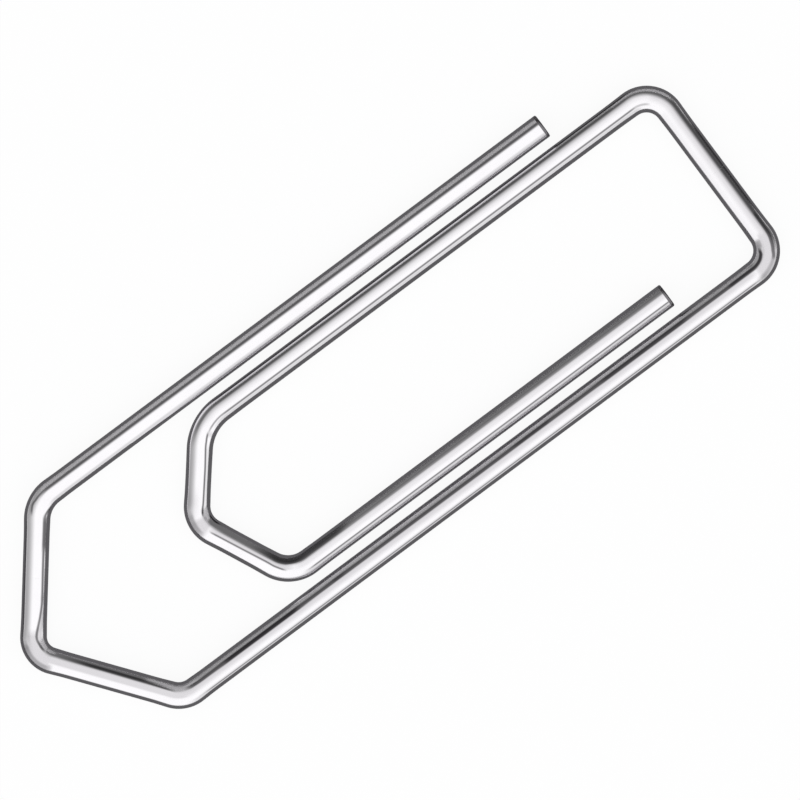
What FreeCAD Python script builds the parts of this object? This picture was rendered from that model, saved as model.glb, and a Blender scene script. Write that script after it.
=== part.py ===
"""A pointed paper clip: one round steel wire, bent flat into an outer and an inner loop.

The wire runs: free end, outer leg, outer nose, back leg, end bar, front leg, inner nose, inner leg, free
end. Every stretch lies in one plane, so the clip lies flat on a desk and neighbouring legs never cross.

The real clip is a single piece that works by flexing. It is split here at three straight stretches, square
to the wire, where the wire twists in use: the middle of the end bar and the middle of one flank of each
nose. The four stretches between the cuts are the bodies that a flexing clip moves against each other, and
each cut's two faces meet, so that the wire reads as unbroken at every angle about its own axis.

Frame, in millimetres: X along the legs, from the noses to the end bar; Y across them; Z up from the desk.
The origin is on the desk, at the middle of the clip's length and width.
"""

import FreeCAD
import Part
import Sketcher

import math
import os

# Driving sizes, in millimetres: alias, value, what it measures.
SIZES = [
    ("wire_diameter", 1.0, "plated wire, outside"),
    ("inner_length", 24.96, "inner loop, outside of its nose to outside of the end bar"),
    ("nose_gap", 7.04, "clear space between the tips of the two noses"),
    ("window_width", 5.75, "clear width inside the inner loop"),
    ("leg_gap", 0.36, "clear space between two neighbouring legs"),
    ("outer_end_gap", 3.76, "clear space from the outer leg's cut end to the end bar"),
    ("inner_end_gap", 3.81, "clear space from the inner leg's cut end to the end bar"),
    ("outer_nose_depth", 3.7, "outer nose, sharp tip to both sharp shoulders"),
    ("outer_tip_offset", 0.07, "outer nose's tip, off the middle towards the outer leg"),
    ("front_shoulder_depth", 2.44, "inner nose, sharp tip to the front leg's shoulder"),
    ("inner_shoulder_depth", 1.75, "inner nose, sharp tip to the inner leg's shoulder"),
    ("inner_tip_offset", 0.4, "inner nose's tip, off the middle towards the front leg"),
    ("bar_bend", 0.58, "inside radius of the two bends of the end bar"),
    ("outer_shoulder_bend", 0.88, "inside radius, outer leg to outer nose"),
    ("back_shoulder_bend", 0.56, "inside radius, outer nose to back leg"),
    ("outer_tip_bend", 0.45, "inside radius, tip of the outer nose"),
    ("front_shoulder_bend", 1.55, "inside radius, front leg to inner nose"),
    ("inner_shoulder_bend", 0.83, "inside radius, inner nose to inner leg"),
    ("inner_tip_bend", 0.64, "inside radius, tip of the inner nose"),
    ("end_round", 0.06, "rounding of the rim at each cut end"),
]


def size(alias):
    """The expression that reads one driving size from the sheet."""
    return f"Sizes.{alias}"


def centre_radius(pin):
    """The bend radius of the wire's centreline round a forming pin of that inside radius."""
    return f"({size(pin)} + {WIRE} / 2)"


def tip_draw(near_depth, near_rise, far_depth, far_rise):
    """How far rounding a nose's sharp tip draws the wire back towards the bar, in bend radii.

    The bend's middle lies where the two flanks, moved inwards by the radius, meet, and the wire reaches one
    radius beyond it.
    """
    near_flank = f"sqrt({near_depth}^2 + {near_rise}^2)"
    far_flank = f"sqrt({far_depth}^2 + {far_rise}^2)"
    return (
        f"(({near_depth} * {far_flank} + {far_depth} * {near_flank})"
        f" / ({near_depth} * {far_rise} + {far_depth} * {near_rise}) - 1)"
    )


WIRE = size("wire_diameter")
HALF_LENGTH = f"(({size('inner_length')} + {size('nose_gap')} + {WIRE}) / 2)"
INNER_Y = f"(({size('window_width')} + {WIRE}) / 2)"
OUTER_Y = f"({INNER_Y} + {WIRE} + {size('leg_gap')})"
BAR_X = f"({HALF_LENGTH} - {WIRE} / 2)"
OUTER_END_X = f"({BAR_X} - {WIRE} / 2 - {size('outer_end_gap')})"
INNER_END_X = f"({BAR_X} - {WIRE} / 2 - {size('inner_end_gap')})"

# The outer nose: its sharp tip stands beyond the rounded one, which ends the clip's length.
OUTER_DEPTH = size("outer_nose_depth")
OUTER_TIP_Y = size("outer_tip_offset")
OUTER_RISES = (f"({OUTER_Y} - {OUTER_TIP_Y})", f"({OUTER_Y} + {OUTER_TIP_Y})")
OUTER_DRAW = tip_draw(OUTER_DEPTH, OUTER_RISES[0], OUTER_DEPTH, OUTER_RISES[1])
OUTER_TIP_X = f"({WIRE} / 2 - {HALF_LENGTH} - {centre_radius('outer_tip_bend')} * {OUTER_DRAW})"
OUTER_SHOULDER_X = f"({OUTER_TIP_X} + {OUTER_DEPTH})"

# The inner nose is uneven: its tip stands nearer to the front leg, and its two flanks differ in depth.
FRONT_DEPTH = size("front_shoulder_depth")
INNER_DEPTH = size("inner_shoulder_depth")
INNER_TIP_Y = size("inner_tip_offset")
INNER_RISES = (f"({INNER_Y} - {INNER_TIP_Y})", f"({INNER_Y} + {INNER_TIP_Y})")
INNER_DRAW = tip_draw(FRONT_DEPTH, INNER_RISES[0], INNER_DEPTH, INNER_RISES[1])
INNER_TIP_X = (
    f"({BAR_X} + {WIRE} - {size('inner_length')} - {centre_radius('inner_tip_bend')} * {INNER_DRAW})"
)
FRONT_SHOULDER_X = f"({INNER_TIP_X} + {FRONT_DEPTH})"
INNER_SHOULDER_X = f"({INNER_TIP_X} + {INNER_DEPTH})"

# Where the wire is split, each the middle of a straight stretch.
BAR_SPLIT = (BAR_X, f"(({INNER_Y} - {OUTER_Y}) / 2)")
OUTER_SPLIT = (f"(({OUTER_SHOULDER_X} + {OUTER_TIP_X}) / 2)", f"(({OUTER_Y} + {OUTER_TIP_Y}) / 2)")
INNER_SPLIT = (f"(({INNER_SHOULDER_X} + {INNER_TIP_X}) / 2)", f"(({INNER_TIP_Y} - {INNER_Y}) / 2)")

# Each stretch: name, start, corners with the forming pin of each, end, whether its start is a cut end.
STRETCHES = [
    (
        "outer_leg",
        (OUTER_END_X, OUTER_Y),
        [(OUTER_SHOULDER_X, OUTER_Y, "outer_shoulder_bend")],
        OUTER_SPLIT,
        True,
    ),
    (
        "outer_loop",
        BAR_SPLIT,
        [
            (BAR_X, f"(-{OUTER_Y})", "bar_bend"),
            (OUTER_SHOULDER_X, f"(-{OUTER_Y})", "back_shoulder_bend"),
            (OUTER_TIP_X, OUTER_TIP_Y, "outer_tip_bend"),
        ],
        OUTER_SPLIT,
        False,
    ),
    (
        "inner_loop",
        BAR_SPLIT,
        [
            (BAR_X, INNER_Y, "bar_bend"),
            (FRONT_SHOULDER_X, INNER_Y, "front_shoulder_bend"),
            (INNER_TIP_X, INNER_TIP_Y, "inner_tip_bend"),
        ],
        INNER_SPLIT,
        False,
    ),
    (
        "inner_leg",
        (INNER_END_X, f"(-{INNER_Y})"),
        [(INNER_SHOULDER_X, f"(-{INNER_Y})", "inner_shoulder_bend")],
        INNER_SPLIT,
        True,
    ),
]

ORIGIN = -1  # in a sketch's constraints, its own axes and origin
START, END, CENTRE = 1, 2, 3  # and the points of a line, an arc or a circle
ALONG_LEG, ALONG_BAR = "YZ_Plane", "XZ_Plane"  # planes square to a leg and to the end bar


def make_sheet(doc):
    """The spreadsheet of driving sizes, one row each: words, plain number, alias."""
    sheet = doc.addObject("Spreadsheet::Sheet", "Sizes")
    for row, (alias, value, words) in enumerate(SIZES, start=1):
        sheet.set(f"A{row}", words)
        sheet.set(f"B{row}", str(value))
        sheet.setAlias(f"B{row}", alias)
    doc.recompute()
    return sheet


def place(sheet, x_expression, y_expression):
    """The point that two expressions give with the sheet's present numbers, in the sketch's plane."""
    x, y = (float(sheet.evalExpression(text)) for text in (x_expression, y_expression))
    return FreeCAD.Vector(x, y, 0)


def origin_plane(body, role):
    """One of the body's own origin planes, found by its role."""
    return next(item for item in body.Origin.OriginFeatures if item.Role == role)


def attached_sketch(body, name, plane, offset):
    """A sketch on one of the body's origin planes, moved along the plane's normal by an expression."""
    sketch = body.newObject("Sketcher::SketchObject", name)
    sketch.AttachmentSupport = [(origin_plane(body, plane), "")]
    sketch.MapMode = "FlatFace"
    sketch.setExpression("AttachmentOffset.Base.z", offset)
    return sketch


def bind(sketch, constraint, expression):
    """Adds a dimension to a sketch and ties its value to the sheet."""
    index = sketch.addConstraint(constraint)
    sketch.setExpression(f"Constraints[{index}]", expression)


def pin_point(sketch, sheet, geometry, which, x_expression, y_expression):
    """Ties both coordinates of one point of a sketch to expressions."""
    where = place(sheet, x_expression, y_expression)
    across = Sketcher.Constraint("DistanceX", ORIGIN, 1, geometry, which, where.x)
    upwards = Sketcher.Constraint("DistanceY", ORIGIN, 1, geometry, which, where.y)
    bind(sketch, across, x_expression)
    bind(sketch, upwards, y_expression)


def bend_points(before, corner, after, radius):
    """Where a bend of that radius leaves the two straights at a sharp corner, and the arc's middle."""
    back = (before - corner).normalize()
    ahead = (after - corner).normalize()
    setback = radius / math.tan(back.getAngle(ahead) / 2)
    inwards = (back + ahead).normalize()
    middle = corner + inwards * (math.hypot(setback, radius) - radius)
    return corner + back * setback, middle, corner + ahead * setback


def join_tangent(sketch, line, line_point, arc):
    """Joins one end of a line to the nearer end of an arc, tangent to it."""
    where = sketch.getPoint(line, line_point)
    arc_point = min((START, END), key=lambda point: where.distanceToPoint(sketch.getPoint(arc, point)))
    sketch.addConstraint(Sketcher.Constraint("Tangent", line, line_point, arc, arc_point))


def make_spine(body, sheet, name, start, corners, end):
    """The wire's centreline: straights between the sharp corners, each corner rounded by a tangent arc."""
    spine = attached_sketch(body, f"{name}_spine", "XY_Plane", f"{WIRE} / 2")
    sharp = [place(sheet, *point) for point in (start, *(corner[:2] for corner in corners), end)]
    leaves = [sharp[0]]
    arcs = []
    for i, (_, _, pin) in enumerate(corners, start=1):
        radius = float(sheet.evalExpression(centre_radius(pin)))
        enter, middle, leave = bend_points(sharp[i - 1], sharp[i], sharp[i + 1], radius)
        spine.addGeometry(Part.LineSegment(leaves[-1], enter), False)
        arcs.append(spine.addGeometry(Part.Arc(enter, middle, leave), False))
        leaves.append(leave)
    last = spine.addGeometry(Part.LineSegment(leaves[-1], sharp[-1]), False)

    pin_point(spine, sheet, 0, START, *start)
    for arc, (x_corner, y_corner, pin) in zip(arcs, corners):
        before, after = arc - 1, arc + 1
        join_tangent(spine, before, END, arc)
        join_tangent(spine, after, START, arc)
        radius = Sketcher.Constraint("Radius", arc, spine.Geometry[arc].Radius)
        bind(spine, radius, centre_radius(pin))
        corner = spine.addGeometry(Part.Point(place(sheet, x_corner, y_corner)), True)
        pin_point(spine, sheet, corner, START, x_corner, y_corner)
        for straight in (before, after):
            spine.addConstraint(Sketcher.Constraint("PointOnObject", corner, START, straight))
    pin_point(spine, sheet, last, END, *end)
    return spine


def make_section(body, sheet, name, start, plane):
    """The round section of the wire, on the plane square to the wire's start."""
    along, offset = (start[1], start[0]) if plane == ALONG_LEG else (start[0], f"-{start[1]}")
    height = f"{WIRE} / 2"
    section = attached_sketch(body, f"{name}_section", plane, offset)
    radius = float(sheet.evalExpression(height))
    circle = Part.Circle(place(sheet, along, height), FreeCAD.Vector(0, 0, 1), radius)
    geometry = section.addGeometry(circle, False)
    pin_point(section, sheet, geometry, CENTRE, along, height)
    bind(section, Sketcher.Constraint("Diameter", geometry, 2 * radius), WIRE)
    return section


def rim_at(feature, where):
    """The name of the round edge of a feature whose centre is at a point."""
    gaps = {
        f"Edge{number}": edge.CenterOfMass.distanceToPoint(where)
        for number, edge in enumerate(feature.Shape.Edges, start=1)
        if isinstance(edge.Curve, Part.Circle)
    }
    return min(gaps, key=gaps.get)


def make_stretch(doc, sheet, name, start, corners, end, has_cut_end):
    """One stretch of the wire: its section swept along its spine, with any cut end's rim rounded."""
    body = doc.addObject("PartDesign::Body", name)
    body.Label = name
    spine = make_spine(body, sheet, name, start, corners, end)
    plane = ALONG_LEG if has_cut_end else ALONG_BAR
    section = make_section(body, sheet, name, start, plane)
    doc.recompute()
    wire = body.newObject("PartDesign::AdditivePipe", f"{name}_wire")
    wire.Profile = (section, [])
    wire.Spine = (spine, [])
    doc.recompute()
    if has_cut_end:
        middle = place(sheet, *start)
        middle.z = float(sheet.evalExpression(f"{WIRE} / 2"))
        rim = body.newObject("PartDesign::Fillet", f"{name}_rim")
        rim.Base = (wire, [rim_at(wire, middle)])
        rim.setExpression("Radius", size("end_round"))
        doc.recompute()
    return body


def check(doc, bodies):
    """Stops if any object failed, or any stretch isn't one valid closed solid."""
    for item in doc.Objects:
        if "Invalid" in item.State or "Error" in item.State:
            raise RuntimeError(f"{item.Name} did not build: {item.State}")
    for body in bodies:
        shape = body.Shape
        if shape.isNull() or not shape.isValid() or len(shape.Solids) != 1:
            raise RuntimeError(f"{body.Label} is not one valid solid")


def main():
    """Builds the document and writes one STEP file for each stretch."""
    doc = FreeCAD.newDocument("paper_clip")
    sheet = make_sheet(doc)
    bodies = [make_stretch(doc, sheet, *stretch) for stretch in STRETCHES]
    doc.recompute()
    check(doc, bodies)
    os.makedirs("parts", exist_ok=True)
    for body in bodies:
        body.Shape.exportStep(os.path.join("parts", f"{body.Label}.step"))
        print(f"{body.Label}: {body.Shape.Volume:.3f} mm3")


main()
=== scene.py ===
"""A pointed paper clip: plated and polished steel wire, bent flat into an outer and an inner loop.

The wire is one plane curve, from the cut end of the outer leg to the cut end of the inner leg. Its surface
is a round section carried along that curve, in the four stretches that flex against each other. Neighbouring
stretches meet ring for ring at their cut, with a clearance that is far too small to see.

Lengths are in millimetres up to the point where a mesh, a node or the camera is made, and in metres there.
"""

import logging
import math
from dataclasses import dataclass, field
from enum import Enum

import bpy
import numpy as np
from mathutils import Matrix, Vector


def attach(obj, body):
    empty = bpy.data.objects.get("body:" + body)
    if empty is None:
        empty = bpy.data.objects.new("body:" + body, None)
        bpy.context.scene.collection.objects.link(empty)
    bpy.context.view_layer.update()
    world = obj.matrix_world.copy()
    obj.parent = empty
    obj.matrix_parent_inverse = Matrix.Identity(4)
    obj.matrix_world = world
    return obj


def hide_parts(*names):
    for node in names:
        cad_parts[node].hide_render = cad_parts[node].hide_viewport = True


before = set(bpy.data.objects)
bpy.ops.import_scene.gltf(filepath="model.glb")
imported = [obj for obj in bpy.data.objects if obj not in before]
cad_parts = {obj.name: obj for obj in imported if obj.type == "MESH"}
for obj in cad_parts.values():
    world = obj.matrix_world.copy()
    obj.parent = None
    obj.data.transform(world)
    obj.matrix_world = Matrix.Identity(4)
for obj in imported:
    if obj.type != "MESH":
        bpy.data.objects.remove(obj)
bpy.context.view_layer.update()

MM = 0.001
LOG = logging.getLogger("paper_clip")
Tree = bpy.types.NodeTree
Socket = bpy.types.NodeSocket


def linear(colour: str) -> tuple[float, float, float, float]:
    """Turns an sRGB hex colour into linear red, green, blue and alpha.

    Args:
        colour: six hex digits after a hash sign.

    Returns:
        Each channel c as c / 12.92 below 0.04045 and ((c + 0.055) / 1.055) ** 2.4 above, then alpha 1.
    """
    channels = (int(colour[i : i + 2], 16) / 255 for i in (1, 3, 5))
    red, green, blue = (c / 12.92 if c <= 0.04045 else ((c + 0.055) / 1.055) ** 2.4 for c in channels)
    return red, green, blue, 1.0


def smooth(low: float, high: float, x: np.ndarray) -> np.ndarray:
    """The cubic step 3 u u - 2 u u u, where u runs from 0 at low to 1 at high.

    Args:
        low: where the step starts.
        high: where it ends.
        x: the values to step.

    Returns:
        The step at every value, from 0 to 1.
    """
    u = np.clip((x - low) / (high - low), 0.0, 1.0)
    return u * u * (3.0 - 2.0 * u)


def add_node(
    tree: Tree, kind: str, inputs: dict[str | int, object] | None = None, **settings: object
) -> bpy.types.NodeOutputs:
    """Adds one node with its settings and links.

    Args:
        tree: the node tree that gets the node.
        kind: the node's type name.
        inputs: for each input, by name or number, its value, or the output socket that feeds it.
        settings: the node's own properties.

    Returns:
        The new node's outputs.
    """
    node = tree.nodes.new(kind)
    for name, value in settings.items():
        setattr(node, name, value)
    for socket, value in (inputs or {}).items():
        if isinstance(value, Socket):
            tree.links.new(value, node.inputs[socket])
        else:
            node.inputs[socket].default_value = value
    return node.outputs


class WireData(Enum):
    """What the wire's mesh tells its finish, point by point, each from 0 to 1."""

    BEND = "bend"  # how strongly the wire is bent
    BARE = "bare"  # 0 on the plated skin, up to half on the cutter's rim, 1 on the cut face
    GROOVE_AND_REFLECTION = "groove_and_painted_reflection"  # lines that the drawing die scored, dark with what lodges in them, and wider bands of painted dark reflection
    MATTE = "matte"  # rubbed plate, which scatters light into a dark reflection
    DIM_REFLECTION = "painted_dim_reflection"  # greyer patches of painted dim reflection, as smooth as the rest


WIRE_UV = "along_and_round"  # U in millimetres along the wire, V in turns round it


@dataclass(frozen=True)
class SteelNoise:
    """One noise in the steel: the length and width of its cells, and how many finer layers it has."""

    length_mm: float
    width_mm: float
    detail: float


@dataclass(frozen=True)
class PlatedSteel:
    """Bright plated, drawn and polished spring steel wire, with bare steel at its cut ends.

    The plating is a near-white mirror, with patches painted a little greyer as dimmer reflections. Drawing
    through the die leaves hair-fine lines along the wire and a few deeper grooves, and wider dark bands along
    it are painted reflections. Bending opens a faint grain across the wire. The cutter leaves darker, duller
    steel, scored down the face, and drags it a hair's breadth round the rim.
    """

    plate: str = "#DFDEE0"
    plate_shade: str = "#D9D7DA"
    # painted dim reflection: the greyer plate laid in patches where a reflection is painted dimmer
    dim_reflection_grey: str = "#C0BEC1"
    # painted dark reflection: the dark of the die's grooves, and of the wider bands painted in as dark
    # reflections
    groove_and_painted_reflection: str = "#3A383B"
    bare_steel: str = "#CBC9CC"
    rim_steel: str = "#6A686B"
    gloss: tuple[float, float] = (0.06, 0.11)  # the roughness where the skin is least and most drawn
    grain_roughness: float = 0.1
    groove_and_reflection_roughness: float = 0.25
    matte_roughness: float = 0.85
    bare_roughness: float = 0.5
    drawn: SteelNoise = SteelNoise(14.0, 0.055, 4.0)  # real lines, 0.01 mm wide, are too fine to show
    grain: SteelNoise = SteelNoise(0.06, 0.35, 3.0)  # and so is the real grain, 0.02 mm long
    mottle: SteelNoise = SteelNoise(0.9, 0.9, 2.0)
    scores: SteelNoise = SteelNoise(0.4, 0.05, 3.0)
    rim_span: tuple[float, float] = (0.1, 0.4)  # the bareness over which plate gives way to the rim
    face_span: tuple[float, float] = (0.6, 0.95)  # and the rim to the cut face
    score_span: tuple[float, float] = (0.5, 0.7)  # the part of the scores' noise that darkens the face
    relief_um: float = 1.2  # the height of the grain, open
    drawn_relief: float = 0.45  # the height of the drawing lines, in reliefs
    score_relief: float = 6.0  # the height of the scores, in reliefs

    def build(self) -> bpy.types.Material:
        """Makes the material.

        Returns:
            The material, for the whole wire.
        """
        material = bpy.data.materials.new("bright_plated_steel")
        material.use_nodes = True
        tree = material.node_tree
        tree.nodes.clear()
        values = {
            data: add_node(tree, "ShaderNodeAttribute", attribute_name=data.value)["Fac"]
            for data in WireData
        }
        uv = add_node(tree, "ShaderNodeUVMap", uv_map=WIRE_UV)[0]
        along, turn, _ = add_node(tree, "ShaderNodeSeparateXYZ", {0: uv})
        drawn = self._round_noise(tree, along, turn, self.drawn)
        grain = self._round_noise(tree, along, turn, self.grain)
        mottle = self._round_noise(tree, along, turn, self.mottle)
        score = self._score_noise(tree)
        inputs = {0: grain, 1: values[WireData.BEND]}
        open_grain = add_node(tree, "ShaderNodeMath", inputs, operation="MULTIPLY")[0]
        inputs = {
            "Base Color": self._colour(tree, mottle, score, values),
            "Metallic": 1.0,
            "Roughness": self._roughness(tree, drawn, open_grain, values),
            "Normal": self._relief(tree, drawn, open_grain, score, values),
        }
        shader = add_node(tree, "ShaderNodeBsdfPrincipled", inputs)[0]
        add_node(tree, "ShaderNodeOutputMaterial", {"Surface": shader})
        return material

    def _round_noise(self, tree: Tree, along: Socket, turn: Socket, noise: SteelNoise) -> Socket:
        """Noise on the wire's skin, without a seam where a turn ends.

        The point is (along / l, k cos(turn), k sin(turn)), where l is the cell's length and k the wire's
        radius over the cell's width, so a step of one cell round the wire is a step of one in the noise.

        Args:
            tree: the material's nodes.
            along: millimetres along the wire.
            turn: turns round it.
            noise: its cells, long along the wire and wide round it.

        Returns:
            The noise, from 0 to 1.
        """
        angle = add_node(tree, "ShaderNodeMath", {0: turn, 1: math.tau}, operation="MULTIPLY")[0]
        cosine, sine = (
            add_node(tree, "ShaderNodeMath", {0: angle}, operation=wave)[0]
            for wave in ("COSINE", "SINE")
        )
        point = add_node(tree, "ShaderNodeCombineXYZ", {0: along, 1: cosine, 2: sine})[0]
        reach = PaperClip.wire_diameter / 2 / noise.width_mm
        scale = (1 / noise.length_mm, reach, reach)
        cells = add_node(tree, "ShaderNodeVectorMath", {0: point, 1: scale}, operation="MULTIPLY")[0]
        inputs = {"Vector": cells, "Scale": 1.0, "Detail": noise.detail}
        return add_node(tree, "ShaderNodeTexNoise", inputs)["Fac"]

    def _score_noise(self, tree: Tree) -> Socket:
        """The cutter's scores down a cut face: noise with cells that are long upwards and narrow sideways.

        Args:
            tree: the material's nodes.

        Returns:
            The noise, from 0 to 1.
        """
        place = add_node(tree, "ShaderNodeTexCoord")["Object"]
        scale = (1.0, 1 / (self.scores.width_mm * MM), 1 / (self.scores.length_mm * MM))
        cells = add_node(tree, "ShaderNodeMapping", {"Vector": place, "Scale": scale})[0]
        inputs = {"Vector": cells, "Scale": 1.0, "Detail": self.scores.detail}
        return add_node(tree, "ShaderNodeTexNoise", inputs)["Fac"]

    def _colour(self, tree: Tree, mottle: Socket, score: Socket, values: dict[WireData, Socket]) -> Socket:
        """The colour: mottled plate, painted dim reflections, the grooves and painted dark reflections, then
        the bare steel's rim and its scored face.

        Args:
            tree: the material's nodes.
            mottle: the plating's slow variation.
            score: the scores on a cut face.
            values: what the mesh says of each point.

        Returns:
            The colour.
        """
        bare = values[WireData.BARE]
        spans = ((bare, *self.rim_span), (bare, *self.face_span), (score, *self.score_span))
        to_rim, to_face, to_score = (
            add_node(tree, "ShaderNodeMapRange", {"Value": value, "From Min": low, "From Max": high})[0]
            for value, low, high in spans
        )
        on_face = add_node(tree, "ShaderNodeMath", {0: to_face, 1: to_score}, operation="MULTIPLY")[0]
        layers = (
            (mottle, self.plate_shade),
            (values[WireData.DIM_REFLECTION], self.dim_reflection_grey),
            (values[WireData.GROOVE_AND_REFLECTION], self.groove_and_painted_reflection),
            (to_rim, self.rim_steel),
            (to_face, self.bare_steel),
            (on_face, self.rim_steel),
        )
        colour: tuple[float, ...] | Socket = linear(self.plate)
        for share, layer in layers:
            inputs = {0: share, 6: colour, 7: linear(layer)}
            colour = add_node(tree, "ShaderNodeMix", inputs, data_type="RGBA")[2]
        return colour

    def _roughness(
        self, tree: Tree, drawn: Socket, open_grain: Socket, values: dict[WireData, Socket]
    ) -> Socket:
        """The roughness: streaked along the wire, duller in grain, grooves and painted dark reflections,
        rubbed plate and bare steel.

        Args:
            tree: the material's nodes.
            drawn: the drawing lines.
            open_grain: the grain across the wire, where it is bent.
            values: what the mesh says of each point.

        Returns:
            The roughness.
        """
        inputs = {"Value": drawn, "To Min": self.gloss[0], "To Max": self.gloss[1]}
        streaked = add_node(tree, "ShaderNodeMapRange", inputs)[0]
        inputs = {0: open_grain, 1: self.grain_roughness, 2: streaked}
        rough = add_node(tree, "ShaderNodeMath", inputs, operation="MULTIPLY_ADD")[0]
        layers = (
            (WireData.GROOVE_AND_REFLECTION, self.groove_and_reflection_roughness),
            (WireData.MATTE, self.matte_roughness),
            (WireData.BARE, self.bare_roughness),
        )
        for data, roughness in layers:
            inputs = {0: values[data], 2: rough, 3: roughness}
            rough = add_node(tree, "ShaderNodeMix", inputs, data_type="FLOAT")[0]
        return rough

    def _relief(
        self, tree: Tree, drawn: Socket, open_grain: Socket, score: Socket, values: dict[WireData, Socket]
    ) -> Socket:
        """The bump: drawing lines, grain in the bends, and the scores of the cut on its face.

        Args:
            tree: the material's nodes.
            drawn: the drawing lines.
            open_grain: the grain across the wire, where it is bent.
            score: the scores on a cut face.
            values: what the mesh says of each point.

        Returns:
            The bent normal.
        """
        inputs = {0: drawn, 1: self.drawn_relief, 2: open_grain}
        skin = add_node(tree, "ShaderNodeMath", inputs, operation="MULTIPLY_ADD")[0]
        scored = add_node(tree, "ShaderNodeMath", {0: score, 1: self.score_relief}, operation="MULTIPLY")[0]
        inputs = {0: values[WireData.BARE], 2: skin, 3: scored}
        height = add_node(tree, "ShaderNodeMix", inputs, data_type="FLOAT")[0]
        distance = self.relief_um * MM * MM
        return add_node(tree, "ShaderNodeBump", {"Height": height, "Distance": distance})[0]


@dataclass(frozen=True)
class Bend:
    """One bend of the wire: the sharp corner that it rounds and the radius inside it."""

    x: float
    y: float
    inside_radius: float


@dataclass
class BentWire:
    """The whole wire: a plane curve of straight runs and arcs, and the round section that follows it.

    Every bend turns left, so the left of the way along the wire is the inside of the spiral. The angle round
    the wire starts there, at 0, and rises through the top, at a quarter turn, to the outside, at a half turn.
    """

    start: tuple[float, float]
    bends: list[Bend]
    end: tuple[float, float]
    diameter: float
    rim_round: float
    columns: int = 192  # points round the wire
    straight_step: float = 0.15  # between rings on a straight
    arc_step: float = 0.04  # and in a bend
    widening: float = 0.075  # shares of the radius, for an amount of bend of 1
    flattening: float = 0.045
    run_start: np.ndarray = field(init=False)
    run_point: np.ndarray = field(init=False)
    run_heading: np.ndarray = field(init=False)
    run_curvature: np.ndarray = field(init=False)

    def __post_init__(self) -> None:
        """Works out where each run starts: its length along the wire, point, heading and curvature.

        The arc that rounds a corner, of middle radius r and turn t, takes r tan(t / 2) off both its sides.
        """
        corners = self.corners
        legs = np.diff(corners, axis=0)
        heading = np.unwrap(np.arctan2(legs[:, 1], legs[:, 0]))
        turn = np.diff(heading)
        radius = np.array([bend.inside_radius for bend in self.bends]) + self.diameter / 2
        setback = radius * np.tan(turn / 2)
        reach = np.concatenate([[0.0], setback]) + np.concatenate([setback, [0.0]])
        straight = np.hypot(legs[:, 0], legs[:, 1]) - reach
        lengths = np.empty(2 * len(straight) - 1)
        lengths[0::2] = straight
        lengths[1::2] = radius * turn
        self.run_start = np.concatenate([[0.0], np.cumsum(lengths)])
        self.run_heading = np.repeat(heading, 2)[:-1]
        self.run_curvature = np.zeros(len(lengths))
        self.run_curvature[1::2] = 1.0 / radius
        along = np.stack([np.cos(heading), np.sin(heading)], axis=1)
        self.run_point = np.empty((len(lengths), 2))
        self.run_point[1::2] = corners[1:-1] - along[:-1] * setback[:, None]
        self.run_point[0::2] = corners[:-1] + along * np.concatenate([[0.0], setback])[:, None]

    @property
    def corners(self) -> np.ndarray:
        """The wire's start, its sharp corners and its end."""
        return np.array([self.start, *((bend.x, bend.y) for bend in self.bends), self.end])

    @property
    def length(self) -> float:
        """The wire's whole length along its middle."""
        return float(self.run_start[-1])

    def middle_of_side(self, number: int) -> float:
        """The distance along the wire to the middle of a side, halfway between its two sharp corners.

        Args:
            number: the side's number, from 0 at the wire's start.

        Returns:
            The distance.
        """
        middle = self.corners[number : number + 2].mean(axis=0)
        run = 2 * number
        return float(self.run_start[run] + np.hypot(*(middle - self.run_point[run])))

    def run_at(self, s: np.ndarray) -> np.ndarray:
        """Which run, straight or arc, each distance along the wire lies in."""
        run = np.searchsorted(self.run_start, s, side="right") - 1
        return np.clip(run, 0, len(self.run_curvature) - 1)

    def centreline(self, s: np.ndarray) -> tuple[np.ndarray, np.ndarray]:
        """The wire's middle line.

        After a distance d in a run of curvature k and first heading h, the line has gone d sin(x) / x along h
        and d (1 - cos(x)) / x to its left, where x is k d. Both are written with sinc, so a straight is an
        arc too.

        Args:
            s: distances along the wire, in an array of any shape.

        Returns:
            The points and the unit vectors to the left, each with one more axis, of x and y.
        """
        run = self.run_at(s)
        d = s - self.run_start[run]
        h = self.run_heading[run]
        x = self.run_curvature[run] * d
        forward = d * np.sinc(x / np.pi)
        aside = d * np.sin(x / 2) * np.sinc(x / (2 * np.pi))
        ahead = np.stack([np.cos(h), np.sin(h)], axis=-1)
        left = np.stack([-np.sin(h), np.cos(h)], axis=-1)
        point = self.run_point[run] + ahead * forward[..., None] + left * aside[..., None]
        return point, np.stack([-np.sin(h + x), np.cos(h + x)], axis=-1)

    def bend_amount(self, s: np.ndarray) -> np.ndarray:
        """How strongly the wire is bent, near and at each distance along it.

        Each bend adds the wire's radius over the bend's, times exp(-(x ** 4)), where x is the distance from
        the bend's middle over half its arc and a third of the diameter.

        Args:
            s: distances along the wire, in an array of any shape.

        Returns:
            From 0 on a long straight to about 0.55 in the tightest bend.
        """
        first, last = self.run_start[1:-1:2], self.run_start[2::2]
        middle, half = (first + last) / 2, (last - first) / 2 + self.diameter / 3
        away = (s[..., None] - middle) / half
        return (np.exp(-(away**4)) * self.run_curvature[1::2] * self.diameter / 2).sum(axis=-1)

    def radius(self, s: np.ndarray, angle: np.ndarray) -> np.ndarray:
        """The section's radius: round on a straight, and in a bend a little wide and a little low.

        Args:
            s: distances along the wire.
            angle: angles round it, in radians.

        Returns:
            r (1 + b (w cos(angle) ** 2 - f sin(angle) ** 2)), with b the amount of bend.
        """
        shape = self.widening * np.cos(angle) ** 2 - self.flattening * np.sin(angle) ** 2
        return self.diameter / 2 * (1 + self.bend_amount(s) * shape)

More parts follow.
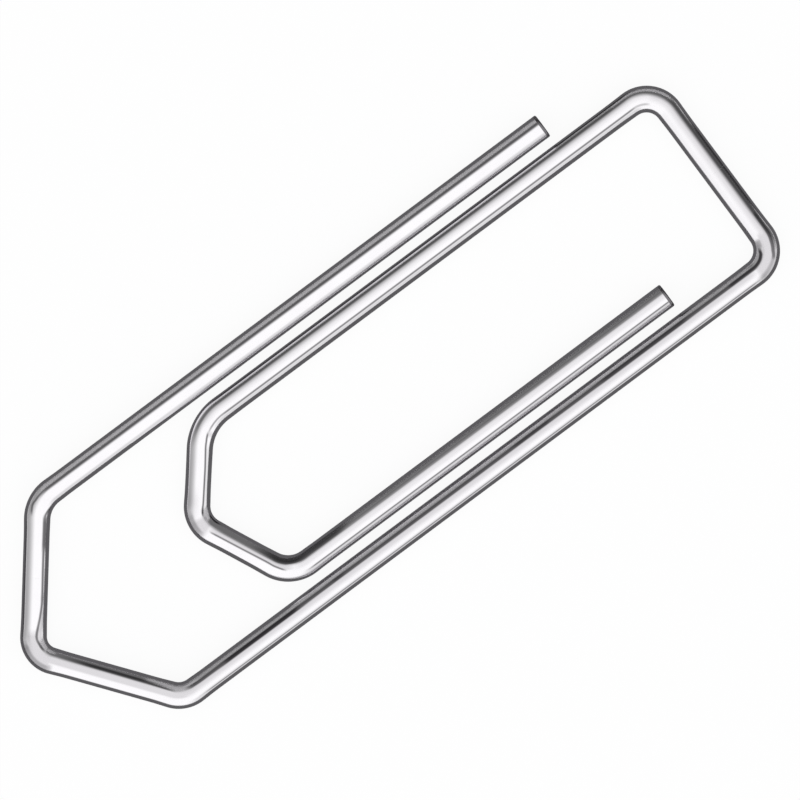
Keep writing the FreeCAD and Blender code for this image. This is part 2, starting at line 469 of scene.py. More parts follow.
    @property
    def _side_ends(self) -> np.ndarray:
        """Where along the wire its sides meet: its start, the middle of every bend, and its end."""
        middles = (self.run_start[1:-1:2] + self.run_start[2::2]) / 2
        return np.concatenate([[0.0], middles, [self.length]])

    def place(self, s: np.ndarray) -> np.ndarray:
        """The place, counted in sides, at each distance: 3.25 is a quarter of the way along side 3."""
        return np.interp(s, self._side_ends, np.arange(len(self._side_ends)))

    def distance(self, place: float) -> float:
        """The distance along the wire to a place that is counted in sides, also to one past an end.

        Args:
            place: the place, such as 3.25 for a quarter of the way along side 3.

        Returns:
            The distance, as if the first and the last side went on beyond their cut ends.
        """
        ends = self._side_ends
        side = int(np.clip(math.floor(place), 0, len(ends) - 2))
        return float(ends[side] + (place - side) * (ends[side + 1] - ends[side]))

    def stations(self, first: float, last: float) -> np.ndarray:
        """Distances along the wire for the rings of one stretch, close in bends and wide on straights.

        Args:
            first: where the stretch starts.
            last: where it ends.

        Returns:
            The distances, from first to last.
        """
        breaks = self.run_start[(self.run_start > first) & (self.run_start < last)]
        edges = np.concatenate([[first], breaks, [last]])
        curved = self.run_curvature[self.run_at((edges[1:] + edges[:-1]) / 2)] > 0
        steps = np.ceil(np.diff(edges) / np.where(curved, self.arc_step, self.straight_step)).astype(int)
        spans = [np.linspace(a, b, n, endpoint=False) for a, b, n in zip(edges[:-1], edges[1:], steps)]
        return np.concatenate([*spans, [last]])


@dataclass(frozen=True)
class Streak:
    """A line or patch along the wire: a die line, plate that a bending pin rubbed, or a painted reflection.

    Its path is a row of places along the wire, counted in sides, each with the tilt there, in degrees from
    the top of the wire towards the outside of the clip. Width, blur and taper are in millimetres: blur is how
    wide each edge is, and taper how long each end takes to fade.
    """

    data: WireData
    path: tuple[tuple[float, float], ...]
    width: float
    depth: float = 1.0
    blur: float = 0.05
    taper: float = 0.6

    def paint(self, wire: BentWire, s: np.ndarray, angle: np.ndarray) -> np.ndarray:
        """How strongly the streak marks each point: its depth times a smooth step across and at both ends.

        Args:
            wire: the wire.
            s: distances along it.
            angle: angles round it, in radians.

        Returns:
            From 0 beside the streak to its depth.
        """
        places, tilts = np.array(self.path).T
        middle = math.pi / 2 + np.radians(np.interp(wire.place(s), places, tilts))
        apart = np.abs(angle - middle) * wire.diameter / 2
        across = 1 - smooth(max(self.width - self.blur, 0.0) / 2, (self.width + self.blur) / 2, apart)
        from_first, from_last = s - wire.distance(places[0]), wire.distance(places[-1]) - s
        return self.depth * across * smooth(0.0, self.taper, from_first) * smooth(0.0, self.taper, from_last)


@dataclass(frozen=True)
class CutEnd:
    """A cut end: a rim rounded by the cutter, and a face that is smooth where it sheared and torn below.

    Lengths are in millimetres, and waves in radians for each millimetre.
    """

    rim_rows: int = 7
    face_rows: int = 14
    first_ring: float = 0.06  # the innermost ring's radius, as a share of the flat face's
    skin_gap: float = 0.01  # from the rim to the first ring of the skin
    bare_length: float = 0.135  # from the end to where the plating starts
    bare_edge: float = 0.012  # between the last bare ring and the first plated one
    blade_bareness: float = 0.5  # on the rim above and below, where the blades met it
    side_bareness: float = 0.2  # on the rim at the sides
    tear_depth: float = 0.022
    tear_height: float = -0.12  # of the line where the tear starts, above the wire's axis
    tear_slope: float = 0.16  # the height over which the tear deepens
    tear_within: float = 0.75  # the share of the flat face inside which the tear is full
    ripple: float = 0.03  # the height of the waves in the tear's line
    ripple_wave: float = 14.0
    grit: float = 0.15  # the share of the tear's depth by which it is uneven
    grit_waves: tuple[float, float, float] = (41.0, 23.0, 37.0)
    grit_bend: float = 3.0
    grit_start: float = 2.0

    def rows(self, wire: BentWire, angle: np.ndarray) -> tuple[np.ndarray, np.ndarray, np.ndarray]:
        """The rings of points from the face's middle out to the wire's skin.

        The rim is a quarter round: at its angle a, the depth is e (1 - sin(a)) and the radius
        r - e (1 - cos(a)). On the face, at x across and h up, the depth is 0 above the tear's line. Below the
        line it falls to the tear's depth times 1 - g + g sin(p x + b sin(q h)) cos(t h + c).

        Args:
            wire: the wire that is cut.
            angle: the angles round it.

        Returns:
            Depth below the end, radius and bareness of each point, all by ring and angle.
        """
        full = wire.diameter / 2
        flat = full - wire.rim_round
        ring = np.linspace(self.first_ring, 1.0, self.face_rows)[:, None] * flat + 0 * angle
        across, height = ring * np.cos(angle), ring * np.sin(angle)
        line = self.tear_height + self.ripple * np.sin(self.ripple_wave * across)
        torn = smooth(0.0, self.tear_slope, line - height) * (1 - smooth(self.tear_within * flat, flat, ring))
        p, q, t = self.grit_waves
        grit = np.sin(p * across + self.grit_bend * np.sin(q * height)) * np.cos(t * height + self.grit_start)
        face_depth = self.tear_depth * torn * (1 - self.grit + self.grit * grit)
        quarter = np.linspace(math.pi / 2, 0, self.rim_rows)[1:, None] + 0 * angle
        rim_depth = wire.rim_round * (1 - np.sin(quarter))
        rim_radius = full - wire.rim_round * (1 - np.cos(quarter))
        depth = np.concatenate([face_depth, rim_depth])
        radius = np.concatenate([ring, rim_radius])
        bare = np.concatenate([np.ones_like(face_depth), self.rim_bareness(angle) + 0 * rim_depth])
        return depth, radius, bare

    def rim_bareness(self, angle: np.ndarray) -> np.ndarray:
        """How bare the rim is: b - (b - s) cos(angle) ** 2, b where the blades met it and s at the sides."""
        return self.blade_bareness - (self.blade_bareness - self.side_bareness) * np.cos(angle) ** 2

    def skin_rings(self, wire: BentWire) -> np.ndarray:
        """The depths of the skin's rings near the end: one at the rim and two at the bare steel's edge."""
        return np.array([wire.rim_round + self.skin_gap, self.bare_length - self.bare_edge, self.bare_length])


@dataclass
class WireStretch:
    """One stretch of the wire, closed at both ends, that rides on one body.

    A flat cut inside the wire stands back by its clearance, which is far too small to see, so that two faces
    that turn on each other never lie in one plane.
    """

    node: str
    wire: BentWire
    first: float
    last: float
    streaks: tuple[Streak, ...] = ()
    cut: CutEnd = CutEnd()
    clearance: float = 0.0005
    plain_from: float = 1.5  # where the skin's even rings start behind a cut end, in lengths of bare steel
    grain_span: tuple[float, float] = (0.05, 0.5)  # the amounts of bend between which the grain opens
    late_turn: float = 0.6  # only in a face that reaches this turn does a corner at 0 turns stand for 1

    def build(self, material: bpy.types.Material) -> bpy.types.Object:
        """Makes the stretch and dresses it.

        At an angle a, the skin is r cos(a) to the left of the wire's middle line and r sin(a) above it, where
        r is the section's radius there.

        Args:
            material: its finish.

        Returns:
            The stretch's object, riding on its body in the place of its node.
        """
        s, radius, bare, angle = self._grid()
        middle, left = self.wire.centreline(s)
        flat = middle + left * (radius * np.cos(angle))[..., None]
        height = self.wire.diameter / 2 + radius * np.sin(angle)
        points = np.concatenate([flat, height[..., None]], axis=-1)
        poles = np.array([[*ring.mean(axis=0), self.wire.diameter / 2] for ring in (middle[0], middle[-1])])
        mesh = self._mesh(points, poles)
        self._unwrap(mesh, s)
        self._mark(mesh, s, bare, angle)
        mesh.materials.append(material)
        piece = bpy.data.objects.new(f"{self.node}_wire", mesh)
        bpy.context.scene.collection.objects.link(piece)
        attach(piece, self.node)
        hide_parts(self.node)
        return piece

    def _grid(self) -> tuple[np.ndarray, np.ndarray, np.ndarray, np.ndarray]:
        """The stretch's points, by ring and column.

        Returns:
            Each point's distance along the wire, radius and bareness, and each column's angle.
        """
        angle = np.linspace(0, 2 * math.pi, self.wire.columns, endpoint=False)
        cut_start, cut_end = self.first <= 0.0, self.last >= self.wire.length
        stations = self.wire.stations(
            self.first + self.clearance * (not cut_start), self.last - self.clearance * (not cut_end)
        )
        depth, face_radius, face_bare = self.cut.rows(self.wire, angle)
        edge = self.cut.skin_rings(self.wire)
        plain = self.plain_from * self.cut.bare_length
        if cut_start:
            stations = np.concatenate([edge, stations[stations > plain]])
        if cut_end:
            stations = np.concatenate([stations[stations < self.last - plain], (self.last - edge)[::-1]])
        s = stations[:, None] + 0 * angle
        radius = self.wire.radius(s, angle)
        to_end = np.minimum(s, self.wire.length - s)
        bare = self.cut.rim_bareness(angle) * (to_end < self.cut.bare_length - self.cut.bare_edge / 2)
        if cut_start:
            s = np.concatenate([depth, s])
            radius, bare = np.concatenate([face_radius, radius]), np.concatenate([face_bare, bare])
        if cut_end:
            s = np.concatenate([s, self.last - depth[::-1]])
            radius = np.concatenate([radius, face_radius[::-1]])
            bare = np.concatenate([bare, face_bare[::-1]])
        return s, radius, bare, angle

    def _mesh(self, points: np.ndarray, poles: np.ndarray) -> bpy.types.Mesh:
        """A closed mesh: quads between rings, wound so that they face outwards, and a fan at each end.

        Args:
            points: the grid of points, in millimetres, by ring and column.
            poles: the two points that close the ends.

        Returns:
            The mesh, in metres, smooth but for the edges of its flat inner cuts.
        """
        rows, columns, _ = points.shape
        ring = np.arange(rows - 1)[:, None] * columns
        here, after = np.arange(columns)[None, :], (np.arange(columns)[None, :] + 1) % columns
        quads = np.stack([ring + here, ring + after, ring + columns + after, ring + columns + here], axis=-1)
        last = (rows - 1) * columns
        first_pole, last_pole = rows * columns, rows * columns + 1
        start_fan = np.stack([np.full(columns, first_pole), after[0], here[0]], axis=-1)
        end_fan = np.stack([np.full(columns, last_pole), last + here[0], last + after[0]], axis=-1)
        mesh = bpy.data.meshes.new(f"{self.node}_wire")
        corners = np.concatenate([quads.ravel(), start_fan.ravel(), end_fan.ravel()])
        sizes = np.concatenate([np.full(quads.size // 4, 4), np.full(2 * columns, 3)])
        mesh.vertices.add(rows * columns + 2)
        mesh.vertices.foreach_set("co", np.concatenate([points.reshape(-1, 3), poles]).ravel() * MM)
        mesh.loops.add(len(corners))
        mesh.loops.foreach_set("vertex_index", corners)
        mesh.polygons.add(len(sizes))
        mesh.polygons.foreach_set("loop_start", np.concatenate([[0], np.cumsum(sizes)[:-1]]))
        mesh.polygons.foreach_set("use_smooth", np.ones(len(sizes), dtype=bool))
        mesh.update(calc_edges=True)
        self._sharpen(mesh, rows, columns)
        return mesh

    def _sharpen(self, mesh: bpy.types.Mesh, rows: int, columns: int) -> None:
        """Marks the rim of each flat inner cut as sharp.

        Args:
            mesh: the stretch's mesh.
            rows: its rings.
            columns: points in a ring.
        """
        ends = np.empty(2 * len(mesh.edges), dtype=int)
        mesh.edges.foreach_get("vertices", ends)
        row = ends.reshape(-1, 2) // columns
        in_ring = row[:, 0] == row[:, 1]
        sharp = np.zeros(len(row), dtype=bool)
        if self.first > 0.0:
            sharp |= in_ring & (row[:, 0] == 0)
        if self.last < self.wire.length:
            sharp |= in_ring & (row[:, 0] == rows - 1)
        mesh.attributes.new("sharp_edge", "BOOLEAN", "EDGE").data.foreach_set("value", sharp)

    def _unwrap(self, mesh: bpy.types.Mesh, s: np.ndarray) -> None:
        """Gives the mesh its UV map, whose last column of faces ends at a whole turn.

        Args:
            mesh: the stretch's mesh.
            s: distance along the wire of each point, by ring and column.
        """
        rows, columns = s.shape
        corner = np.empty(len(mesh.loops), dtype=int)
        mesh.loops.foreach_get("vertex_index", corner)
        along = np.append(s.ravel(), [s[0].mean(), s[-1].mean()])[corner]
        turn = np.append(np.tile(np.arange(columns), rows), [0, 0])[corner] / columns
        starts = np.empty(len(mesh.polygons), dtype=int)
        mesh.polygons.foreach_get("loop_start", starts)
        face = np.repeat(np.arange(len(starts)), np.diff(np.append(starts, len(corner))))
        widest = np.maximum.reduceat(turn, starts)[face]
        turn = np.where((turn == 0.0) & (widest > self.late_turn), 1.0, turn)
        uv = mesh.uv_layers.new(name=WIRE_UV)
        uv.data.foreach_set("uv", np.stack([along, turn], axis=-1).ravel())

    def _mark(self, mesh: bpy.types.Mesh, s: np.ndarray, bare: np.ndarray, angle: np.ndarray) -> None:
        """Gives the mesh the values that its finish reads.

        Args:
            mesh: the stretch's mesh.
            s: distance along the wire of each point, by ring and column.
            bare: how bare the steel is at each point.
            angle: angle round the wire of each column.
        """
        values = {data: np.zeros_like(s) for data in WireData}
        values[WireData.BEND] = smooth(*self.grain_span, self.wire.bend_amount(s))
        for streak in self.streaks:
            painted = streak.paint(self.wire, s, angle) * (bare == 0)
            values[streak.data] = np.maximum(values[streak.data], painted)
        values[WireData.BARE] = bare
        for data, grid in values.items():
            whole = np.append(grid.ravel(), [grid[0].mean(), grid[-1].mean()])
            mesh.attributes.new(data.value, "FLOAT", "POINT").data.foreach_set("value", whole)


@dataclass
class PaperClip:
    """The clip: its sizes in millimetres, the wire that they give, and the four stretches that flex.

    The inner loop's length is over all, and the gaps and the window's width are clear between wire and wire.
    Depths run along the clip from a nose's sharp tip to its shoulder, and an offset is how far a tip lies off
    the middle, towards the outer leg. Each bend is the radius inside it.
    """

    wire_diameter: float = 1.0
    inner_length: float = 24.96
    nose_gap: float = 7.04
    window_width: float = 5.75
    leg_gap: float = 0.36
    outer_end_gap: float = 3.76
    inner_end_gap: float = 3.81
    outer_nose_depth: float = 3.7
    outer_tip_offset: float = 0.07
    front_shoulder_depth: float = 2.44
    inner_shoulder_depth: float = 1.75
    inner_tip_offset: float = 0.4
    bar_bend: float = 0.58
    outer_shoulder_bend: float = 0.88
    back_shoulder_bend: float = 0.56
    outer_tip_bend: float = 0.45
    front_shoulder_bend: float = 1.55
    inner_shoulder_bend: float = 0.83
    inner_tip_bend: float = 0.64
    end_round: float = 0.06
    nodes: tuple[str, ...] = ("outer_leg", "outer_loop", "inner_loop", "inner_leg")
    cut_sides: tuple[int, ...] = (1, 4, 7)  # the outer nose's flank, the end bar and the inner nose's flank

    def wire(self) -> BentWire:
        """The wire from cut end to cut end, its sharp corners worked out from the clip's sizes.

        Returns:
            The bent wire.
        """
        half_length = (self.inner_length + self.nose_gap + self.wire_diameter) / 2
        inner_y = (self.window_width + self.wire_diameter) / 2
        outer_y = inner_y + self.wire_diameter + self.leg_gap
        bar_x = half_length - self.wire_diameter / 2
        bar_inside_x = bar_x - self.wire_diameter / 2
        outer_side = (self.outer_nose_depth, outer_y - self.outer_tip_offset)
        outer_back = (self.outer_nose_depth, outer_y + self.outer_tip_offset)
        inner_front = (self.front_shoulder_depth, inner_y - self.inner_tip_offset)
        inner_back = (self.inner_shoulder_depth, inner_y + self.inner_tip_offset)
        outer_reach = self.wire_diameter / 2 - half_length
        outer_tip_x = outer_reach - self._draw(self.outer_tip_bend, outer_side, outer_back)
        inner_reach = bar_x + self.wire_diameter - self.inner_length
        inner_tip_x = inner_reach - self._draw(self.inner_tip_bend, inner_front, inner_back)
        outer_shoulder_x = outer_tip_x + self.outer_nose_depth
        front_x = inner_tip_x + self.front_shoulder_depth
        inner_x = inner_tip_x + self.inner_shoulder_depth
        bends = [
            Bend(outer_shoulder_x, outer_y, self.outer_shoulder_bend),
            Bend(outer_tip_x, self.outer_tip_offset, self.outer_tip_bend),
            Bend(outer_shoulder_x, -outer_y, self.back_shoulder_bend),
            Bend(bar_x, -outer_y, self.bar_bend),
            Bend(bar_x, inner_y, self.bar_bend),
            Bend(front_x, inner_y, self.front_shoulder_bend),
            Bend(inner_tip_x, self.inner_tip_offset, self.inner_tip_bend),
            Bend(inner_x, -inner_y, self.inner_shoulder_bend),
        ]
        first = (bar_inside_x - self.outer_end_gap, outer_y)
        last = (bar_inside_x - self.inner_end_gap, -inner_y)
        return BentWire(first, bends, last, self.wire_diameter, self.end_round)

    def _draw(self, inside_radius: float, before: tuple[float, float], after: tuple[float, float]) -> float:
        """How far a nose's rounded tip stands back from its sharp one, towards the bar.

        With a flank of depth a, rise b and length f before the tip, and one of depth c, rise d and length g
        after it, that is the bend's middle radius times (a g + c f) / (a d + c b) - 1.

        Args:
            inside_radius: the radius inside the bend.
            before: the first flank's depth along the clip and rise across it.
            after: the second flank's depth and rise.

        Returns:
            The distance.
        """
        (a, b), (c, d) = before, after
        share = (a * math.hypot(c, d) + c * math.hypot(a, b)) / (a * d + c * b)
        return (inside_radius + self.wire_diameter / 2) * (share - 1)

    def streaks(self) -> tuple[Streak, ...]:
        """The marks on the wire, mostly painted reflections, in rows of what they are, their path, width,
        depth, blur and taper.

        Returns:
            The streaks of the long legs and the bar, then those of the two noses, then those of the bends.
        """
        # Most rows paint reflections: the wide dark bands are painted dark reflections and the greyer patches
        # painted dim ones, while the narrow dark lines are the die's grooves.
        groove_and_painted_reflection, matte, painted_dim_reflection = WireData.GROOVE_AND_REFLECTION, WireData.MATTE, WireData.DIM_REFLECTION
        rows = (
            # the outer leg
            (groove_and_painted_reflection, ((-0.05, 20.5), (1.0, 20.5)), 0.13, 0.85, 0.1),
            (matte, ((-0.05, 38.0), (1.0, 38.0)), 0.17, 1.0, 0.06),
            # the back leg
            (groove_and_painted_reflection, ((3.02, 38.7), (3.975, 38.7)), 0.055, 0.72),
            (painted_dim_reflection, ((2.85, -6.0), (3.98, -6.0)), 0.26, 1.0, 0.22),
            (groove_and_painted_reflection, ((3.0, -28.0), (3.03, -21.0), (3.99, -21.0)), 0.14, 0.86, 0.05),
            (groove_and_painted_reflection, ((3.03, -21.0), (3.24, -21.0)), 0.17, 1.0, 0.06, 1.5),
            (groove_and_painted_reflection, ((3.22, -22.0), (3.31, -22.0)), 0.15, 0.93, 0.06, 1.2),
            (groove_and_painted_reflection, ((3.52, -22.0), (3.67, -22.0)), 0.15, 0.93, 0.06, 1.5),
            (groove_and_painted_reflection, ((3.67, -21.5), (3.9, -21.5)), 0.17, 0.94, 0.06, 1.5),
            (matte, ((3.0, -40.0), (3.98, -40.0)), 0.12, 0.62, 0.05),
            (groove_and_painted_reflection, ((3.2, -52.0), (3.88, -52.0)), 0.06, 1.0),
            # the end bar
            (painted_dim_reflection, ((4.03, 14.0), (5.02, 14.0)), 0.34, 0.9, 0.3),
            (groove_and_painted_reflection, ((4.1, 32.0), (4.97, 32.0)), 0.15, 0.5, 0.1),
            (groove_and_painted_reflection, ((4.15, 47.0), (4.86, 47.0)), 0.13, 0.9, 0.06, 1.2),
            # the front leg
            (groove_and_painted_reflection, ((5.02, -25.3), (5.98, -25.3)), 0.075, 0.8),
            (groove_and_painted_reflection, ((4.99, -25.3), (5.06, -25.3)), 0.09, 0.4, 0.05, 0.3),
            (groove_and_painted_reflection, ((5.9, -24.5), (6.12, -23.5)), 0.07, 0.65),
            (groove_and_painted_reflection, ((5.0, 32.5), (6.24, 32.5)), 0.12, 0.62, 0.07, 1.0),
            (painted_dim_reflection, ((4.95, 10.0), (6.05, 10.0)), 0.2, 0.45, 0.15),
            (matte, ((5.02, 42.0), (5.98, 42.0)), 0.06, 0.5, 0.05),
            (groove_and_painted_reflection, ((5.02, 54.0), (5.98, 54.0)), 0.07, 1.0),
            # the inner leg
            (groove_and_painted_reflection, ((8.02, 29.3), (9.05, 29.3)), 0.065, 0.8),
            (painted_dim_reflection, ((7.98, -6.0), (9.05, -6.0)), 0.22, 0.6, 0.15),
            (groove_and_painted_reflection, ((8.0, -24.5), (9.05, -24.5)), 0.14, 0.55, 0.06),
            (groove_and_painted_reflection, ((8.0, -44.0), (9.05, -44.0)), 0.09, 0.4, 0.05),
            (matte, ((7.7, -44.0), (9.05, -44.0)), 0.1, 0.35, 0.06),
            # the outer nose
            (
                groove_and_painted_reflection,
                ((0.96, 20.5), (0.985, 24.0), (1.01, 31.0), (1.03, 33.0), (1.06, 29.0), (1.1, 24.0)),
                0.09, 0.7, 0.05, 0.25,
            ),
            (
                groove_and_painted_reflection,
                ((0.99, -52.0), (1.03, -47.0), (1.08, -39.0), (1.2, -36.0), (1.45, -36.0), (1.65, -37.5),
                 (1.7, -35.0), (1.77, -28.5), (1.85, -18.0), (1.88, -14.5), (1.91, -17.0), (1.96, -22.5),
                 (2.06, -27.0)),
                0.1, 0.8, 0.06, 0.4,
            ),
            (groove_and_painted_reflection, ((1.03, -44.0), (1.1, -39.0), (1.38, -38.0)), 0.18, 0.85, 0.08),
            (groove_and_painted_reflection, ((1.55, -38.0), (1.72, -37.0)), 0.13, 0.85, 0.06),
            (groove_and_painted_reflection, ((1.68, -40.0), (1.86, -38.0)), 0.18, 0.3, 0.08, 0.3),
            (groove_and_painted_reflection, ((1.05, 53.0), (1.95, 53.0)), 0.08, 0.55),
            (painted_dim_reflection, ((1.84, 4.0), (2.13, 4.0)), 0.36, 1.0, 0.1, 0.3),
            (painted_dim_reflection, ((1.92, 33.0), (2.135, 33.0)), 0.26, 1.0, 0.06, 0.2),
            (painted_dim_reflection, ((1.81, -28.0), (1.93, -28.0)), 0.2, 1.0, 0.1, 0.2),
            (groove_and_painted_reflection, ((1.9, 45.0), (2.13, 41.0)), 0.26, 0.45, 0.12, 0.3),
            (matte, ((1.9, -38.0), (2.06, -38.0)), 0.26, 1.0, 0.08, 0.3),
            (matte, ((2.0, -42.0), (2.15, -42.0)), 0.14, 0.8, 0.06, 0.3),
            (painted_dim_reflection, ((1.9, -1.0), (3.02, -1.0)), 0.23, 1.0, 0.1),
            (groove_and_painted_reflection, ((2.12, -31.0), (2.4, -28.5), (2.74, -26.0), (2.97, -23.0)), 0.15, 0.84, 0.08, 1.6),
            (groove_and_painted_reflection, ((2.66, -24.0), (2.9, -20.0), (2.97, -19.0)), 0.08, 0.85, 0.05),
            (matte, ((2.68, -42.0), (2.85, -38.0), (3.04, -34.0)), 0.2, 0.95, 0.1),
            # the inner nose
            (
                groove_and_painted_reflection,
                ((6.02, -20.5), (6.08, -23.0), (6.16, -27.0), (6.45, -30.0), (6.82, -29.0), (6.9, -24.5),
                 (6.95, -20.0), (6.99, -14.0)),
                0.075, 0.85, 0.05, 0.25,
            ),
            (painted_dim_reflection, ((6.0, -38.0), (6.12, -38.0)), 0.2, 0.8, 0.1, 0.2),
            (painted_dim_reflection, ((6.6, 24.0), (7.0, 18.0)), 0.42, 0.8, 0.25, 1.0),
            (painted_dim_reflection, ((6.95, 8.0), (7.14, 8.0)), 0.66, 1.0, 0.08, 0.2),
            (groove_and_painted_reflection, ((6.87, 37.0), (7.13, 39.0)), 0.24, 0.45, 0.12, 0.3),
            (matte, ((6.84, -35.0), (7.07, -33.0)), 0.3, 1.0, 0.08, 0.3),
            (groove_and_painted_reflection, ((6.95, -54.0), (7.22, -54.0)), 0.09, 1.0, 0.06, 0.3),
            (
                groove_and_painted_reflection,
                ((7.12, 4.5), (7.25, 3.5), (7.5, 2.2), (7.76, 0.0), (7.88, 2.2), (7.93, 5.3), (7.98, 9.0)),
                0.065, 0.78, 0.05, 0.25,
            ),
            (painted_dim_reflection, ((7.05, -6.0), (8.02, -6.0)), 0.2, 1.0, 0.08),
            (groove_and_painted_reflection, ((7.1, -20.5), (7.98, -19.5)), 0.08, 0.45, 0.05),
            (groove_and_painted_reflection, ((7.49, -33.0), (7.95, -34.0), (8.02, -37.5), (8.2, -34.5)), 0.29, 0.84, 0.05, 1.4),
            # the two corners at the end bar
            (painted_dim_reflection, ((3.968, 10.0), (4.135, 10.0)), 0.55, 1.0, 0.1, 0.25),
            (painted_dim_reflection, ((4.02, -33.0), (4.11, -33.0)), 0.3, 1.0, 0.1, 0.2),
            (groove_and_painted_reflection, ((4.03, -38.0), (4.105, -36.0)), 0.25, 0.3, 0.1, 0.2),
            (groove_and_painted_reflection, ((3.965, 39.0), (4.03, 42.0)), 0.28, 0.38, 0.12, 0.3),
            (
                groove_and_painted_reflection,
                ((3.99, 36.0), (4.02, 28.0), (4.06, 26.0), (4.12, 29.5), (4.25, 32.0)),
                0.15, 0.78, 0.06, 0.3,
            ),
            (
                groove_and_painted_reflection,
                ((3.92, -21.5), (3.99, -24.5), (4.01, -31.5), (4.03, -36.0), (4.06, -42.0)),
                0.15, 0.97, 0.07, 0.4,
            ),
            (matte, ((4.9, 43.0), (5.08, 41.0)), 0.12, 1.0, 0.05, 0.3),
        )
        return tuple(Streak(*row) for row in rows)

    def build(self) -> None:
        """Builds the four stretches in their order along the wire."""
        wire = self.wire()
        streaks = self.streaks()
        cuts = [0.0, *(wire.middle_of_side(number) for number in self.cut_sides), wire.length]
        material = PlatedSteel().build()
        for node, first, last in zip(self.nodes, cuts, cuts[1:]):
            piece = WireStretch(node, wire, first, last, streaks).build(material)
            LOG.info("%s: %.2f mm of wire, %d faces", piece.name, last - first, len(piece.data.polygons))


@dataclass(frozen=True)
class DarkSide:
    """One side of the studio that shows less light, and how it fades into the rest.

    A direction belongs to the side as far as its cosine with the side's own direction has risen from the
    fade's first value to its second.
    """

    turn: float  # degrees from the picture's upward direction, clockwise
    rise: float  # degrees above the floor
    loss: float  # the share of the light that is gone there
    fade: tuple[float, float]


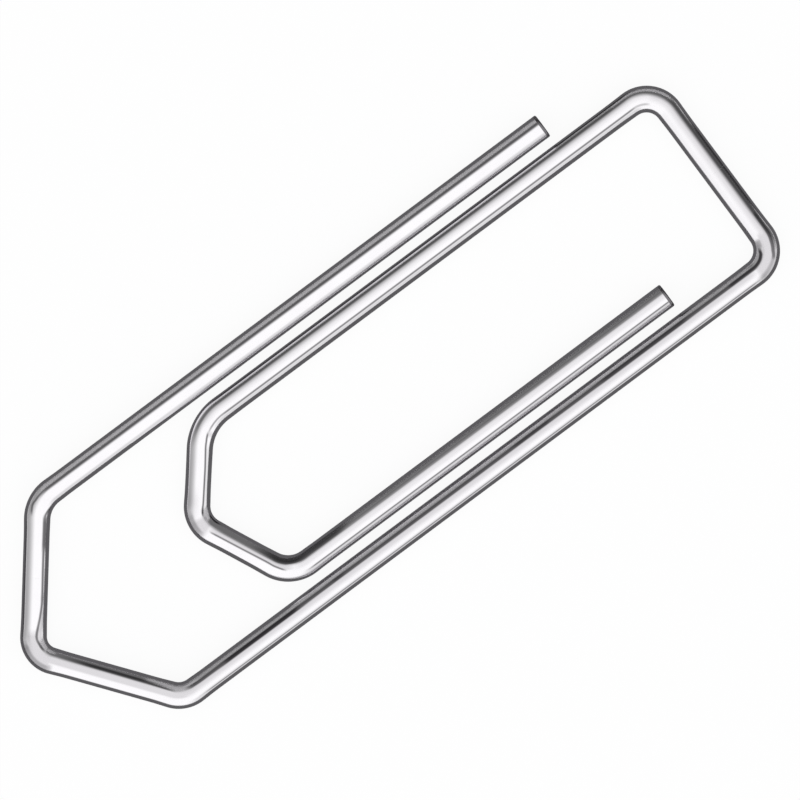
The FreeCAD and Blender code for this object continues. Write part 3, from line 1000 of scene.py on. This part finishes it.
@dataclass
class Studio:
    """The pale floor, the soft surround that lights the clip, and the camera straight above it."""

    picture_up: float = 53.35  # the picture's upward direction, in degrees from +X towards +Y
    view_centre: tuple[float, float] = (0.995, -0.474)  # the point in the picture's middle
    view_width: float = 30.874  # what the picture's width spans at the height of the wire's middle
    lens: float = 500.0
    sensor: float = 36.0
    white: float = 1.38  # the surround's level away from its dark sides
    background: str = "#FFFFFF"
    board: str = "#F4F4F5"
    shade: str = "#6A696B"
    shade_reach: tuple[float, float] = (3.0, 25.0)  # where the shade round the wire starts to fade, and ends
    shadow_lift: float = 0.92  # the share of the floor that the camera sees as plain background
    floor_size: float = 8000.0
    floor_drop: float = 0.02
    clip_metres: tuple[float, float] = (0.01, 100.0)
    dark_sides: tuple[DarkSide, ...] = (
        DarkSide(22.0, -8.5, 0.86, (0.1, 0.71)),
        DarkSide(-58.0, 4.0, 0.71, (0.19, 1.06)),
        DarkSide(143.0, 13.5, 0.9, (0.9, 1.16)),
    )

    def direction(self, turn: float, rise: float) -> Vector:
        """The unit vector to one side of the studio.

        Args:
            turn: degrees from the picture's upward direction, clockwise.
            rise: degrees above the floor.

        Returns:
            (cos(rise) cos(a), cos(rise) sin(a), sin(rise)), where a is the turn from +X towards +Y.
        """
        angle, height = math.radians(self.picture_up - turn), math.radians(rise)
        flat = math.cos(height)
        return Vector((flat * math.cos(angle), flat * math.sin(angle), math.sin(height)))

    def build(self) -> None:
        """Builds the surround, the floor and the camera."""
        self._surround()
        self._floor()
        self._camera()
        LOG.info("studio: surround, floor and camera")

    def _surround(self) -> None:
        """Lights the clip with a white tent that loses light towards its dark sides.

        The level is the white times, for each dark side, 1 - loss x share. The camera sees plain white.
        """
        world = bpy.data.worlds.new("light_tent")
        bpy.context.scene.world = world
        world.use_nodes = True
        tree = world.node_tree
        tree.nodes.clear()
        towards = add_node(tree, "ShaderNodeTexCoord")["Generated"]
        level: float | Socket = self.white
        for side in self.dark_sides:
            inputs = {0: self._share(tree, towards, side), 1: -side.loss, 2: 1.0}
            kept = add_node(tree, "ShaderNodeMath", inputs, operation="MULTIPLY_ADD")[0]
            level = add_node(tree, "ShaderNodeMath", {0: level, 1: kept}, operation="MULTIPLY")[0]
        seen = add_node(tree, "ShaderNodeLightPath")["Is Camera Ray"]
        strength = add_node(tree, "ShaderNodeMix", {0: seen, 2: level, 3: 1.0}, data_type="FLOAT")[0]
        inputs = {"Color": linear(self.background), "Strength": strength}
        light = add_node(tree, "ShaderNodeBackground", inputs)[0]
        add_node(tree, "ShaderNodeOutputWorld", {"Surface": light})

    def _share(self, tree: Tree, towards: Socket, side: DarkSide) -> Socket:
        """How far a direction belongs to one side of the studio.

        Args:
            tree: the world's nodes.
            towards: the direction looked in.
            side: the side.

        Returns:
            From 0 to 1.
        """
        inputs = {0: towards, 1: self.direction(side.turn, side.rise)}
        cosine = add_node(tree, "ShaderNodeVectorMath", inputs, operation="DOT_PRODUCT")["Value"]
        inputs = {"Value": cosine, "From Min": side.fade[0], "From Max": side.fade[1]}
        return add_node(tree, "ShaderNodeMapRange", inputs, interpolation_type="SMOOTHSTEP")[0]

    def _floor(self) -> None:
        """Lays the pale floor, whose shadows the camera sees softened and the wire sees deep."""
        half, level = self.floor_size / 2 * MM, -self.floor_drop * MM
        corners = [(-half, -half, level), (half, -half, level), (half, half, level), (-half, half, level)]
        mesh = bpy.data.meshes.new("floor")
        mesh.from_pydata(corners, [], [(0, 1, 2, 3)])
        mesh.materials.append(self._floor_finish())
        floor = bpy.data.objects.new("floor", mesh)
        bpy.context.scene.collection.objects.link(floor)

    def _floor_finish(self) -> bpy.types.Material:
        """Makes the floor's matt white board.

        Close to the wire the board lies in the wire's own shade. That shade is too small for the soft light
        to draw, so a reflection that meets the board within a few millimetres of the wire is given it, and
        one that meets it further off shows the pale board, as the camera does.

        Returns:
            The material.
        """
        material = bpy.data.materials.new("white_board")
        material.use_nodes = True
        tree = material.node_tree
        tree.nodes.clear()
        board = add_node(tree, "ShaderNodeBsdfDiffuse", {"Color": linear(self.board)})[0]
        pale = add_node(tree, "ShaderNodeEmission", {"Color": linear(self.background)})[0]
        shade = add_node(tree, "ShaderNodeEmission", {"Color": linear(self.shade)})[0]
        path = add_node(tree, "ShaderNodeLightPath")
        inputs = {0: path["Is Glossy Ray"], 1: path["Is Transmission Ray"]}
        mirrored = add_node(tree, "ShaderNodeMath", inputs, operation="MAXIMUM")[0]
        inputs = {0: path["Is Camera Ray"], 1: self.shadow_lift}
        lift = add_node(tree, "ShaderNodeMath", inputs, operation="MULTIPLY")[0]
        seen = add_node(tree, "ShaderNodeMixShader", {0: lift, 1: board, 2: pale})[0]
        first, last = self.shade_reach
        inputs = {"Value": path["Ray Length"], "From Min": first * MM, "From Max": last * MM}
        far = add_node(tree, "ShaderNodeMapRange", inputs, interpolation_type="SMOOTHSTEP")[0]
        reflected = add_node(tree, "ShaderNodeMixShader", {0: far, 1: shade, 2: pale})[0]
        whole = add_node(tree, "ShaderNodeMixShader", {0: mirrored, 1: seen, 2: reflected})[0]
        add_node(tree, "ShaderNodeOutputMaterial", {"Surface": whole})
        return material

    def _camera(self) -> None:
        """Sets the camera straight above, with a long lens, turned as the picture is."""
        data = bpy.data.cameras.new("camera")
        data.lens = self.lens
        data.sensor_width = self.sensor
        data.clip_start, data.clip_end = self.clip_metres
        camera = bpy.data.objects.new("camera", data)
        bpy.context.scene.collection.objects.link(camera)
        right, up, back = self.direction(90.0, 0.0), self.direction(0.0, 0.0), Vector((0.0, 0.0, 1.0))
        turned = Matrix((right, up, back)).transposed().to_4x4()
        height = PaperClip.wire_diameter / 2 * MM + self.view_width * MM * self.lens / self.sensor
        place = Vector((self.view_centre[0] * MM, self.view_centre[1] * MM, height))
        camera.matrix_world = Matrix.Translation(place) @ turned
        bpy.context.scene.camera = camera


def main() -> None:
    """Builds the clip, then the studio."""
    logging.basicConfig(level=logging.INFO, format="%(name)s %(message)s")
    bpy.context.scene.view_settings.view_transform = "Standard"
    PaperClip().build()
    Studio().build()


if __name__ == "__main__":
    main()
